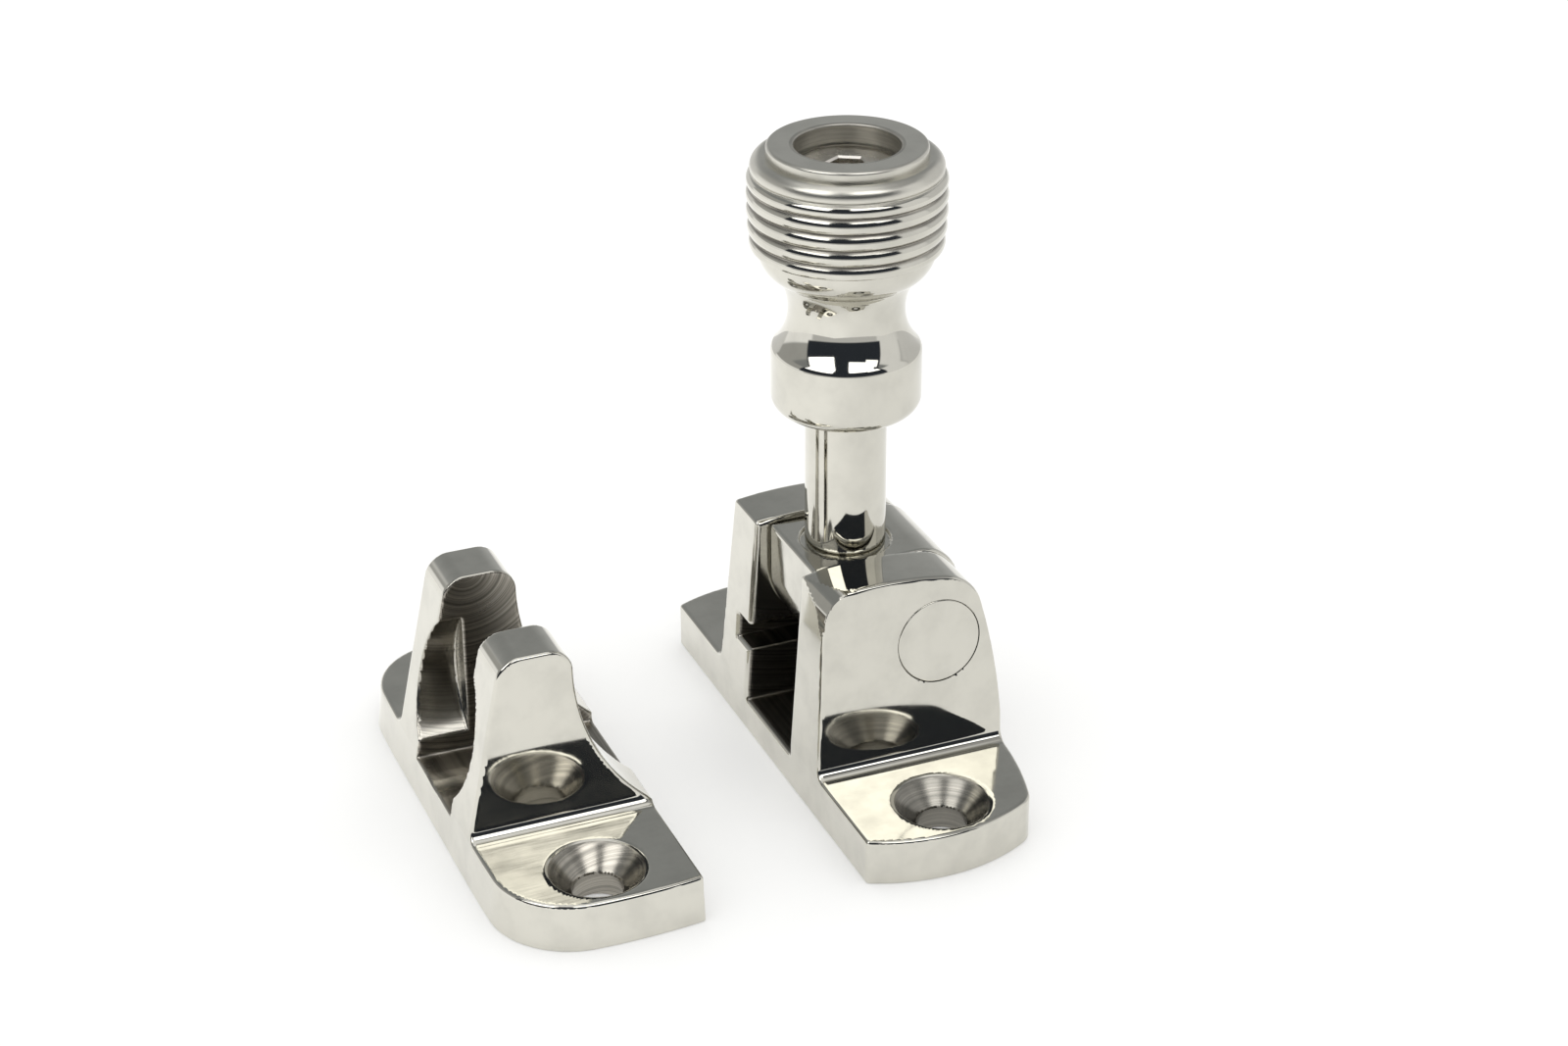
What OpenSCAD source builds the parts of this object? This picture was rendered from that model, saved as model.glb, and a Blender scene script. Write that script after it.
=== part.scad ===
// Sash window fastener, Brighton pattern: a body with a swinging spindle and a screwed knob, and its keep
// The origin is the centre of the underside of the body's plate. +Z is up and the keep lies towards -X

/* [Plates] */
// Thickness of both plates at their ends
plate_thickness = 4.75; // [4:0.05:6]
// Width of the body's plate
body_width = 20; // [20:0.1:22]
// Length of the body's plate
body_length = 53.5; // [52:0.5:58]
// Width of the keep's plate
keep_width = 18.4; // [18:0.1:20]
// Length of the keep's plate
keep_length = 52; // [50:0.5:56]
// Diameter of the screw holes
screw_bore = 5; // [4:0.1:5.5]
// Diameter of the countersinks at the plates' faces
screw_rim = 9.5; // [8:0.1:10]

/* [Body] */
// Distance between the two screw holes of the body
body_screw_spacing = 42.2; // [40:0.1:44]
// Height of the cheeks
cheek_height = 24.1; // [24:0.1:25]
// Width of the slot between the cheeks
body_slot = 11.4; // [11:0.1:12]
// Height of the slot's floor
body_slot_floor = 3.5; // [3:0.1:4]
// Height of the keyway in the far cheek's inner wall
keyway_height = 2.5; // [2:0.1:3]
// Depth of the keyway into the far cheek
keyway_depth = 3.1; // [2:0.1:3.5]

/* [Pivot and spindle] */
// Height of the pivot above the underside
pivot_height = 16.87; // [16.5:0.01:17]
// Distance of the pivot from the plate's middle, towards +X
pivot_offset = 3.26; // [3:0.01:3.5]
// Diameter of the pivot pin
pin_diameter = 6; // [5:0.1:6.4]
// Diameter of the pin's riveted ends at the cheeks' faces
pin_rim = 8.64; // [8:0.01:9]
// Diameter of the spindle's smooth shank
shank_diameter = 8; // [7.6:0.1:8]
// Diameter of the spindle's threaded end
thread_diameter = 6; // [5:0.1:6]
// Distance of the spindle's axis from the pivot, towards -X
spindle_offset = 4.8; // [4.4:0.05:5]

/* [Knob] */
// Height of the knob's underside
knob_bottom = 38; // [36:0.1:40]
// Height of the knob from its underside to its top
knob_height = 26.9; // [26.9:0.1:28]
// Diameter of the collar
collar_diameter = 14.64; // [14.2:0.02:15]
// Diameter of the waist at its narrowest
waist_diameter = 11.32; // [11.1:0.02:12]
// Largest diameter of the ridged head
head_diameter = 19.14; // [19:0.02:19.4]
// Diameter of the bore in the top
top_bore = 10.1; // [10:0.02:10.6]
// Number of ridges round the head
ridge_count = 5; // [3:1:5]
// Distance from one ridge to the next
ridge_pitch = 1.61; // [1.5:0.01:1.62]

/* [Keep] */
// Gap between the body's plate and the keep's plate
keep_gap = 16.22; // [10:0.01:30]
// Distance that the keep lies off the body's centre line, towards +Y
keep_shift = 1.4; // [0:0.1:3]
// Distance between the two screw holes of the keep
keep_screw_spacing = 40.7; // [38:0.1:42]
// Height of the horns
horn_height = 23.3; // [22:0.1:24]
// Width of the slot between the horns
keep_slot = 11.22; // [11:0.02:12]
// Height of the slot's floor
keep_slot_floor = 4.1; // [3.5:0.1:4.5]
// Diameter of the round socket for the collar
socket_diameter = 17.14; // [16:0.02:17.4]
// Height of the socket's axis above the underside
socket_height = 12.47; // [12:0.01:12.6]
// Depth of the socket from the keep's outer side
socket_depth = 5.4; // [4:0.1:6]

/* [Hidden] */
$fn = 96;
// Longer than anything here, for cuts that go right through
reach = 100;
// Clearance on the radius where a piece turns, and where it's pressed in
running = 0.05;
seat = 0.02;
// How far two curved faces cross where they would only touch, because a mere touch can't be cut cleanly
hair = 0.02;

half_body = body_width / 2;
screw_x = -0.4;

// Plates in plan, in each quarter: the end is an arc, the side a flatter arc that starts some way from
// the middle, and a third arc rounds the corner between them
end_arc_x = -2;
body_end_radius = 18;
body_side_start = 10.7;
body_side_radius = 40;
body_corner_radius = 2.5;
keep_end_radius = 60;
keep_side_start = 12;
keep_side_radius = 150;
keep_corner_radius = 8;
keep_draft = 0.5;

// Axis of the spindle and the knob
spindle_x = pivot_offset - spindle_offset;

// Cheeks: half the width at the top, its growth per millimetre going down, and the fillet at the plate
cheek_top_half = 11.49;
cheek_draft = 0.0726;
cheek_fillet = 1.1;
// Cheeks in side view: how far the front leans back, and the arcs of the top, the shoulder and the back
front_lean = 1.3;
front_angle = atan(front_lean / (cheek_height - plate_thickness));
crown_radius = 40;
crown_x = -2.6;
shoulder_radius = 4.5;
back_radius = 64;
back_centre = [-53.9, 3.5];
// Buffed outer corner of the near cheek
corner_radius = 3.4;
corner_tilt = 9;
corner_length = 12;
corner_place = [-0.05, -0.2, -0.15];
// Rounding of the slot's front edges
edge_round = 0.6;
keyway_bottom = 9.3;
keyway_lip = 0.7;

// Swivel block
block_slack = 0.2;
block_front = -7.35;
block_top = 23.45;
nose_radius = 6.85;
nose_height = 18.3;
heel_radius = 5.1;
block_shoulder = 4.25;
ring_diameter = 9.12;
ring_depth = 0.5;
spigot_diameter = 4.4;
spigot_shift = 0.9;
spigot_depth = 4;

// Spindle and the bores inside the knob
shank_end = 41.6;
thread_end = 56.8;
counterbore_end = 42;
tapping_end = 52.2;
recess_depth = 2;
recess_height = knob_bottom + knob_height - recess_depth;
chamber_diameter = 9.8;
undercut_diameter = 10.9;
undercut_height = 0.5;
lock_height = 3;
lock_slack = 0.05;
hex_flats = 3.5;
hex_depth = 2.2;
security_diameter = 1.2;
security_drop = 0.1;

// Knob in section: radii and the heights of its arcs above the underside
collar_edge = 1.46;
neck_core = 5.5;
waist_height = 10.54;
waist_curve = 5.39;
collar_curve = 2.81;
belly_radius = 3.46;
belly_centre = [5.13, 16.85];
first_ridge = 17.31;
crown_height = 21.77;
head_curve = 40;
groove_radius = 0.7;
groove_rise = 0.4;
shoulder_crest = 24.73;
shoulder_crest_radius = 9.18;
shoulder_curve = 1.17;
cap_height = 1.03;
cap_radius = 7.66;
cap_edge = 0.3;

// Keep
keep_right = -half_body - keep_gap;
keep_left = keep_right - keep_width;
keep_screw_x = 9.7;
horn_top_half = 11.41;
horn_draft = 0.013;
horn_fillet = 1.2;
// Horns in side view, from the keep's left side: the front's lean, and the roundings of the top
horn_lean = 3.9;
horn_edge = 2;
horn_edge_inset = 1.7;
horn_shoulder = 2.4;
horn_shoulder_x = 8.65;
// The hollow sweep of the horns' far side
sweep_radius = 21;
sweep_centre = [32.1, 20.9];

function square_of(x) = x * x;
// The two points where circle (a, ra) meets circle (b, rb)
function meet(a, ra, b, rb) =
    let (d = b - a, gap = norm(d), along = (square_of(gap) + square_of(ra) - square_of(rb)) / (2 * gap))
    let (side = sqrt(square_of(ra) - square_of(along)), u = d / gap)
    [a + along * u + side * [-u.y, u.x], a + along * u - side * [-u.y, u.x]];
function nearer(pair) = pair[0].x < pair[1].x ? pair[0] : pair[1];
function farther(pair) = pair[0].x + pair[0].y > pair[1].x + pair[1].y ? pair[0] : pair[1];
// The point of a circle that lies on the line from its centre through another point
function on_circle(centre, radius, towards) =
    centre + radius * (towards - centre) / norm(towards - centre);

// Centre of the arc of radius r that blends circle (a, ra) into circle (b, rb) from inside both
function blend_centre(a, ra, b, rb, r) = farther(meet(a, ra - r, b, rb - r));

// Wedge from the blending arc's centre that holds the corner where circle (a, ra) meets circle (b, rb)
module blend_wedge(a, ra, b, rb, r) {
    centre = blend_centre(a, ra, b, rb, r);
    corner = farther(meet(a, ra, b, rb));
    polygon([centre, centre + 2 * (on_circle(a, ra, centre) - centre), centre + 3 * (corner - centre),
        centre + 2 * (on_circle(b, rb, centre) - centre)]);
}

// Waste outside a plate's corner arc, with the draft. The arc crosses its neighbours by a hair
module corner_waste(a, ra, b, rb, r, height, draft) {
    difference() {
        translate([0, 0, -1]) linear_extrude(height + 2) blend_wedge(a, ra, b, rb, r - hair);
        translate(blend_centre(a, ra, b, rb, r - hair)) drafted_disc(r, height, draft);
    }
}

// A disc that grows by the draft from its top to its underside, and goes on past both
module drafted_disc(r, height, draft) {
    more = draft / height;
    translate([0, 0, -1]) cylinder(r1 = r + draft + more, r2 = r - more, h = height + 2);
}

// Waste outside the arc of a cheek's shoulder, in side view
module shoulder_waste(a, ra, b, rb, r) {
    difference() {
        blend_wedge(a, ra, b, rb, r);
        translate(blend_centre(a, ra, b, rb, r)) circle(r);
    }
}

// Half of a plate, towards +Y: its three arcs lean out towards the underside by the draft
module half_plate(half_width, half_length, end_radius, side_start, side_radius, corner, draft) {
    end_centre = [end_arc_x, half_length - end_radius];
    side_centre = [half_width - side_radius, side_start];
    difference() {
        intersection() {
            translate([-half_width, 0, 0]) cube([reach, reach, plate_thickness]);
            translate(end_centre) drafted_disc(end_radius, plate_thickness, draft);
            union() {
                translate(side_centre) drafted_disc(side_radius, plate_thickness, draft);
                translate([half_width, 0, 0]) rotate([90, 0, 180])
                    linear_extrude(side_start) polygon([[-draft, 0], [0, plate_thickness],
                        [2 * half_width, plate_thickness], [2 * half_width, 0]]);
            }
        }
        corner_waste(end_centre, end_radius, side_centre, side_radius, corner, plate_thickness, draft);
    }
}

module countersunk_hole(x, y) {
    sink = (screw_rim - screw_bore) / 2;
    translate([x, y, -1]) cylinder(d = screw_bore, h = plate_thickness + 2);
    translate([x, y, plate_thickness - sink]) cylinder(d1 = screw_bore, d2 = screw_rim, h = sink);
    translate([x, y, plate_thickness]) cylinder(d = screw_rim, h = 1);
}

// Waste that rounds the edge of a slot: a square less a circle, at the mouth's corner
module mouth_waste(radius) {
    difference() {
        translate([-radius, -radius]) square(2 * radius);
        translate([radius, radius]) circle(radius);
        translate([radius, -radius]) square(radius);
        translate([-radius, radius]) square(radius);
        translate([radius, radius]) square(radius);
    }
}

// Waste that rounds an upper corner of a side view, on the right (1) or the left (-1) of the arc's centre
module corner_round(centre, radius, side = 1) {
    translate(centre) scale([side, 1]) difference() {
        square(reach);
        circle(radius);
    }
}

// Draws a side view (x across, height up) as a solid along Y
module along_y(half) {
    translate([0, half, 0]) rotate([90, 0, 0]) linear_extrude(2 * half) children();
}

// Draws an end view (y across, height up) as a solid along X
module along_x(from, length) {
    translate([from, 0, 0]) rotate([90, 0, 90]) linear_extrude(length) children();
}

// End view of two upright walls with drafted outer faces and a fillet where each meets the plate
module wall_section(top_half, height, draft, fillet) {
    foot_half = top_half + draft * (height - plate_thickness);
    for (side = [-1, 1]) scale([side, 1]) {
        polygon([[-1, 0], [foot_half, 0], [foot_half, plate_thickness],
            [top_half, height], [-1, height]]);
        difference() {
            translate([foot_half - fillet, 0]) square([2 * fillet, plate_thickness + fillet]);
            translate([foot_half + fillet, plate_thickness + fillet]) circle(fillet);
        }
    }
}

// Side view of a cheek: a leaning front, a shallow crown, and a bowed back with a rounded shoulder between
module cheek_side_view() {
    crown_centre = [crown_x, cheek_height - crown_radius];
    difference() {
        intersection() {
            polygon([[-half_body, 0], [half_body, 0], [half_body, reach],
                [-half_body + tan(front_angle) * (reach - plate_thickness), reach],
                [-half_body, plate_thickness]]);
            translate(crown_centre) circle(crown_radius);
            translate(back_centre) circle(back_radius);
        }
        shoulder_waste(back_centre, back_radius, crown_centre, crown_radius, shoulder_radius);
    }
}

// Tilted rounding that buffs away the outer front corner of the near cheek and runs out at the slot
module corner_buffing() {
    translate([front_lean - half_body, -cheek_top_half, cheek_height] + corner_place)
        rotate([corner_tilt, 0, corner_tilt])
            translate([corner_radius, 0, -corner_radius])
                rotate([-90, 0, 0]) linear_extrude(corner_length, center = true) difference() {
                    translate([-2 * corner_radius, -2 * corner_radius]) square(2 * corner_radius);
                    circle(corner_radius);
                }
}

module fastener_body() {
    color("gainsboro") difference() {
        union() {
            for (side = [-1, 1]) scale([1, side, 1])
                half_plate(half_body, body_length / 2, body_end_radius, body_side_start,
                    body_side_radius, body_corner_radius, 0);
            intersection() {
                along_y(reach) cheek_side_view();
                along_x(-half_body, body_width)
                    wall_section(cheek_top_half, cheek_height, cheek_draft, cheek_fillet);
            }
        }
        translate([-reach / 2, -body_slot / 2, body_slot_floor]) cube([reach, body_slot, reach]);
        corner_buffing();
        along_x(-reach / 2, reach) keyway_view();
        for (side = [-1, 1]) scale([1, side, 1]) {
            translate([-half_body, -body_slot / 2, body_slot_floor]) rotate([0, front_angle, 0])
                linear_extrude(reach) scale([1, -1]) mouth_waste(edge_round);
            countersunk_hole(screw_x, body_screw_spacing / 2);
        }
        pivot_hole(pin_diameter + 2 * seat, pin_rim + 2 * seat);
    }
}

// End view of the keyway: a square groove with its upper lip rounded over
module keyway_view() {
    wall = body_slot / 2;
    top = keyway_bottom + keyway_height;
    translate([wall - 1, keyway_bottom]) square([keyway_depth + 1, keyway_height]);
    difference() {
        translate([wall - 1, top - 0.01]) square([1 + keyway_lip, keyway_lip]);
        translate([wall + keyway_lip, top + keyway_lip]) circle(keyway_lip);
    }
}

// The pivot's bore: straight, with a cone at each end that the pin's riveted ends fill
module pivot_hole(bore, rim) {
    cone = (rim - bore) / 2;
    face = cheek_top_half + cheek_draft * (cheek_height - pivot_height);
    translate([pivot_offset, 0, pivot_height]) rotate([90, 0, 0]) {
        cylinder(d = bore, h = 4 * face, center = true);
        for (side = [-1, 1]) scale([1, 1, side]) {
            translate([0, 0, face - 2 * cone]) cylinder(d1 = bore, d2 = rim, h = cone);
            translate([0, 0, face - cone]) cylinder(d = rim, h = 3 * cone);
        }
    }
}

module pivot_pin() {
    color("silver") intersection() {
        pivot_hole(pin_diameter, pin_rim);
        along_x(-half_body, body_width)
            wall_section(cheek_top_half, cheek_height, cheek_draft, cheek_fillet);
    }
}

// Side view of the block: a round nose in front, a round heel about the pivot, and a flat top with a rounded
// shoulder at the back
module block_side_view() {
    nose = [block_front + nose_radius, nose_height];
    heel = [pivot_offset, pivot_height];
    run = heel - nose;
    lean = atan2(run.y, run.x) - 90 - asin((nose_radius - heel_radius) / norm(run));
    down = [cos(lean), sin(lean)];
    difference() {
        union() {
            translate(nose) circle(nose_radius);
            translate(heel) circle(heel_radius);
            polygon([nose + nose_radius * down, heel + heel_radius * down, heel + [heel_radius, 0],
                [heel.x + heel_radius, block_top], [block_front, block_top], [block_front, nose_height], nose]);
        }
        translate([-reach / 2, block_top]) square(reach);
        corner_round([heel.x + heel_radius - block_shoulder, block_top - block_shoulder], block_shoulder);
    }
}

module swivel_block() {
    half = body_slot / 2 - block_slack;
    color("silver") difference() {
        along_y(half) block_side_view();
        translate([pivot_offset, 0, pivot_height]) rotate([90, 0, 0])
            cylinder(d = pin_diameter + 2 * running, h = reach, center = true);
        translate([spindle_x, 0, block_top - ring_depth]) cylinder(d = ring_diameter, h = reach);
        translate([spindle_x - spigot_shift, 0, block_top - ring_depth - spigot_depth])
            cylinder(d = spigot_diameter, h = reach);
    }
}

module spindle() {
    shank_start = block_top - ring_depth;
    color("silver") union() {
        translate([spindle_x, 0, shank_start]) cylinder(d = shank_diameter, h = shank_end - shank_start);
        translate([spindle_x, 0, shank_end - 1])
            cylinder(d = thread_diameter, h = thread_end - shank_end + 1);
        translate([spindle_x - spigot_shift, 0, shank_start - spigot_depth])
            cylinder(d = spigot_diameter - 2 * seat, h = spigot_depth + 1);
    }
}

// Knob in section, from its underside at 0 to its top, axis at x = 0
module knob_section() {
    waist = [waist_diameter / 2 + waist_curve, waist_height];
    collar_x = collar_diameter / 2 - collar_curve;
    collar_rise = sqrt(square_of(waist_curve + collar_curve) - square_of(waist.x - collar_x));
    collar_arc = [collar_x, waist_height - collar_rise];
    neck_start = on_circle(collar_arc, collar_curve, waist);
    neck_end = nearer(meet(waist, waist_curve, belly_centre, belly_radius));
    head_centre = [head_diameter / 2 - head_curve, crown_height];
    shoulder_x = shoulder_crest_radius - shoulder_curve;
    ridge_levels = [for (i = [0 : ridge_count - 1]) first_ridge + i * ridge_pitch];
    last_groove = (ridge_levels[ridge_count - 1] + shoulder_crest) / 2;
    groove_levels = concat([for (i = [0 : ridge_count - 2]) ridge_levels[i] + ridge_pitch / 2],
        last_groove);
    difference() {
        union() {
            square([collar_diameter / 2 - collar_edge, collar_edge]);
            translate([collar_diameter / 2 - collar_edge, collar_edge]) circle(collar_edge);
            translate([0, collar_edge]) square([collar_diameter / 2, collar_arc.y - collar_edge]);
            intersection() {
                translate(collar_arc) circle(collar_curve);
                translate([0, collar_arc.y]) square([reach, neck_start.y - collar_arc.y]);
            }
            translate([0, collar_arc.y]) square([neck_core, belly_centre.y - collar_arc.y]);
            difference() {
                translate([0, neck_start.y]) square([waist.x, neck_end.y - neck_start.y]);
                translate(waist) circle(waist_curve);
            }
            translate([0, neck_end.y]) square([belly_centre.x, belly_centre.y - neck_end.y]);
            translate(belly_centre) circle(belly_radius);
            intersection() {
                translate(head_centre) circle(head_curve);
                translate([0, belly_centre.y]) square([reach, last_groove - belly_centre.y]);
            }
            translate([0, belly_centre.y])
                square([shoulder_x, knob_height - cap_height - belly_centre.y]);
            translate([shoulder_x, shoulder_crest]) circle(shoulder_curve);
            translate([0, last_groove]) square([shoulder_crest_radius, shoulder_crest - last_groove]);
            translate([0, shoulder_crest]) square([cap_radius, knob_height - cap_edge - shoulder_crest]);
            translate([0, shoulder_crest]) square([cap_radius - cap_edge, knob_height - shoulder_crest]);
            translate([cap_radius - cap_edge, knob_height - cap_edge]) circle(cap_edge);
        }
        for (level = groove_levels) {
            surface = head_centre.x + sqrt(square_of(head_curve) - square_of(level - crown_height));
            translate([surface + groove_rise, level]) circle(groove_radius);
        }
        translate([-reach, -1]) square([reach, reach]);
    }
}

module knob() {
    color("gainsboro") translate([spindle_x, 0, knob_bottom]) difference() {
        rotate_extrude() knob_section();
        translate([0, 0, -1])
            cylinder(d = shank_diameter + 2 * running, h = counterbore_end - knob_bottom + 1);
        cylinder(d = thread_diameter + 2 * running, h = knob_height);
        translate([0, 0, tapping_end - knob_bottom]) cylinder(d = chamber_diameter, h = knob_height);
        translate([0, 0, knob_height - recess_depth]) {
            cylinder(d = top_bore, h = knob_height);
            cylinder(d = undercut_diameter, h = undercut_height);
        }
    }
}

module lock_screw() {
    color("darkgray") translate([spindle_x, 0, recess_height - lock_height]) difference() {
        cylinder(d = chamber_diameter - 2 * lock_slack, h = lock_height);
        translate([0, 0, lock_height - hex_depth])
            cylinder(d = hex_flats / cos(30), h = hex_depth + 1, $fn = 6);
        translate([0, 0, -1]) cylinder(d = security_diameter + 2 * running, h = lock_height);
    }
}

module security_pin() {
    color("silver") translate([spindle_x, 0, recess_height - lock_height])
        cylinder(d = security_diameter, h = lock_height - security_drop);
}

// Side view of a horn: a leaning front, a rounded top and a long hollow sweep down to the far edge
module horn_side_view() {
    difference() {
        polygon([[0, 0], [keep_width, 0], [keep_width, horn_height], [horn_lean, horn_height],
            [0, plate_thickness]]);
        translate(sweep_centre) circle(sweep_radius);
        corner_round([horn_shoulder_x, horn_height - horn_shoulder], horn_shoulder);
        corner_round([horn_lean + horn_edge_inset, horn_height - horn_edge], horn_edge, -1);
    }
}

module keep() {
    color("gainsboro") translate([keep_left, keep_shift, 0]) difference() {
        union() {
            translate([keep_width / 2, 0, 0]) for (side = [-1, 1]) scale([-1, side, 1])
                half_plate(keep_width / 2, keep_length / 2, keep_end_radius, keep_side_start,
                    keep_side_radius, keep_corner_radius, keep_draft);
            intersection() {
                along_y(reach) horn_side_view();
                along_x(0, keep_width) wall_section(horn_top_half, horn_height, horn_draft, horn_fillet);
            }
        }
        translate([-1, -keep_slot / 2, keep_slot_floor]) cube([keep_width + 2, keep_slot, reach]);
        translate([-1, 0, socket_height]) rotate([0, 90, 0])
            cylinder(d = socket_diameter, h = socket_depth + 1);
        for (side = [-1, 1])
            countersunk_hole(keep_screw_x, side * keep_screw_spacing / 2);
    }
}

fastener_body();
pivot_pin();
swivel_block();
spindle();
security_pin();
knob();
lock_screw();
keep();
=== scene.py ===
"""Finished look of a sash window fastener: its castings, spindle, knob and keep, and a stage to show them.

Sizes inside the shape functions are in millimetres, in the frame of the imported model. Meshes are written in
metres. Each casting is the zero surface of a distance field, and each turned piece is a profile carried round
an axis.
"""

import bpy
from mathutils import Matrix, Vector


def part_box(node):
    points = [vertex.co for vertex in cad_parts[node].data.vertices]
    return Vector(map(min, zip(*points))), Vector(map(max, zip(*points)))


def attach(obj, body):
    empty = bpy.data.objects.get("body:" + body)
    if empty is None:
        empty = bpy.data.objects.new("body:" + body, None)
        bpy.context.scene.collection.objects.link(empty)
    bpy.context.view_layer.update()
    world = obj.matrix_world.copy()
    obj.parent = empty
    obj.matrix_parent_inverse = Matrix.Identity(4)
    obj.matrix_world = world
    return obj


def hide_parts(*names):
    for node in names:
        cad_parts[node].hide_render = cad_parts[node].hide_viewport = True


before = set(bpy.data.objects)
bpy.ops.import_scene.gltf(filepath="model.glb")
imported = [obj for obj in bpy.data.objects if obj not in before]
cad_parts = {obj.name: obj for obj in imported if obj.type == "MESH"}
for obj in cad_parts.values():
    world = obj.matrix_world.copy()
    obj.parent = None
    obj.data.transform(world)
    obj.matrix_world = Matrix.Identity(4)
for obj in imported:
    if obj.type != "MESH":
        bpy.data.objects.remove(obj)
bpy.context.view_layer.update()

import math

import bpy
import numpy as np
from mathutils import Matrix, Vector

bl_info = {
    "name": "Sash fastener finish",
    "version": (1, 0, 0),
    "blender": (4, 5, 0),
    "location": "View3D > Sidebar > Fastener",
    "description": "Builds the polished pieces of a sash window fastener and its keep",
    "category": "Object",
}

MM = 0.001

# Both castings: the plate's thickness and a screw hole's radius at its mouth. Then the duller band at the
# plate's face, as its lowest and highest level and extra roughness, and the height of its buffing swell.
PLATE = 4.75
HOLE_MOUTH = 4.75
PLATE_SATIN = (4.4, 5.0, 0.04)
PLATE_SWELL = 0.045

# The body: height, half width over the cheeks at their top and its gain per millimetre downwards, half width
# and floor of the slot, place of the screw holes, and the pivot's axis in the side view.
BODY_TOP = 24.1
CHEEK_HALF = 11.49
CHEEK_DRAFT = 0.0726
BODY_SLOT_HALF = 5.7
BODY_SLOT_FLOOR = 3.5
BODY_HOLE = (-0.4, 21.1)
PIVOT = (3.26, 16.87)

# The keep: left side, middle, height, half width over the horns, half width and floor of the slot, place of
# the screw holes from the left side and the middle, and the socket's height, radius and depth.
KEEP_LEFT = -44.62
KEEP_SHIFT = 1.4
KEEP_TOP = 23.3
HORN_HALF = 11.41
KEEP_SLOT_HALF = 5.61
KEEP_SLOT_FLOOR = 4.1
KEEP_HOLE = (9.7, 20.35)
SOCKET_HEIGHT = 12.47
SOCKET_RADIUS = 8.57
SOCKET_DEPTH = 5.4

# The spindle's axis and foot, the knob's underside, and the floor of the recess over the lock screw.
SPINDLE_X = -1.54
SPINDLE_FOOT = 22.95
KNOB_BOTTOM = 38.0
RECESS_FLOOR = 62.9

# Heights above the knob's underside: the top of the collar's side, the feet of the waist and the belly, the
# belly's widest, the first bead's middle, the grooves between the beads and the foot of the cap. Then the
# radii of the collar, the head and each bead's arc.
COLLAR_TOP = 6.017
WAIST_FOOT = 6.812
BELLY_FOOT = 13.74
BELLY_WIDEST = 16.85
FIRST_BEAD = 17.31
GROOVES = (18.115, 19.725, 21.335, 22.945, 24.24)
CAP_FOOT = 24.73
COLLAR_RADIUS = 7.32
HEAD_RADIUS = 9.57
BEADS = (1, 1, 1, 1, 0.75)

# Nominal radius of the lock screw's socket, before it is shaped to a hexagon.
SOCKET_WALL = 1.9

# The stage: directions to its front and right, the floor's half side, and the patches that reflections see,
# as ranges of turn and rise in degrees, a colour, and half the width of the soft edges.
STAGE_FRONT = (-0.381, -0.9245, 0)
STAGE_RIGHT = (0.9245, -0.381, 0)
FLOOR_HALF = 0.28
SKY = (
    (((-181, 181), (58, 91)), (1.05, 1.05, 1.05), 3),
    (((50, 160), (50, 68)), (0.42, 0.42, 0.42), 4),
    (((-181, 181), (-30, 1)), (0.95, 0.95, 0.95), 2),
    (((-168, -128), (-12, 18)), (0.82, 0.82, 0.82), 4),
    (((-128, -60), (-30, 6)), (1.12, 1.12, 1.12), 3),
    (((-128, -70), (7, 33)), (0.46, 0.46, 0.45), 2),
    (((60, 100), (-20, 42)), (0.93, 0.93, 0.93), 2),
    (((100, 150), (-20, 38)), (0.76, 0.76, 0.76), 7),
    (((-66, 56), (-12, 1)), (0.64, 0.64, 0.64), 3),
    (((-73, 61), (1, 58)), (0.03, 0.035, 0.045), 2),
    (((35, 57), (35, 47)), (2.5, 2.5, 2.5), 1.2),
    (((-70, -23), (30, 62)), (3.0, 3.0, 3.0), 1),
    (((4, 52), (40, 62)), (3.0, 3.0, 3.0), 1.5),
)


# ---------------------------------------------------------------- distance fields

def round_max(a, b, radius):
    """Where two fields are both inside, with the edge between them rounded: the larger of the two, and near
    the edge the distance from an arc of the radius."""
    outside = np.hypot(np.maximum(a + radius, 0), np.maximum(b + radius, 0))
    return np.minimum(np.maximum(a, b), -radius) + outside


def round_min(a, b, radius):
    """Where either field is inside, with a fillet of the radius in the corner between them."""
    return -round_max(-a, -b, radius)


def ramp(value, low, high):
    """0 below low, 1 above high, and a smooth cubic between."""
    t = np.clip((value - low) / (high - low), 0, 1)
    return t * t * (3 - 2 * t)


def corner_arc(x, y, first, second, radius):
    """Where two circles, given as (x, y, radius), are both inside, with the corner on their upper right
    rounded by an arc that touches both: the distance from the arc's centre between the two points of touch,
    and the larger of the circles' fields elsewhere."""
    a, b = np.array(first[:2], float), np.array(second[:2], float)
    reach_a, reach_b, gap = first[2] - radius, second[2] - radius, np.hypot(*(b - a))
    along = (gap ** 2 + reach_a ** 2 - reach_b ** 2) / (2 * gap)
    run = (b - a) / gap
    aside = math.sqrt(reach_a ** 2 - along ** 2) * np.array((-run[1], run[0]))
    centre = max((a + run * along + aside, a + run * along - aside), key=sum)
    qx, qy = x - centre[0], y - centre[1]
    (ax, ay), (bx, by) = centre - a, centre - b
    if ax * by - ay * bx > 0:
        ax, ay, bx, by = bx, by, ax, ay
    between = (bx * qy - by * qx > 0) & (qx * ay - qy * ax > 0)
    plain = np.maximum(np.hypot(x - a[0], y - a[1]) - first[2], np.hypot(x - b[0], y - b[1]) - second[2])
    return np.where(between, np.hypot(qx, qy) - radius, plain)


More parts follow.
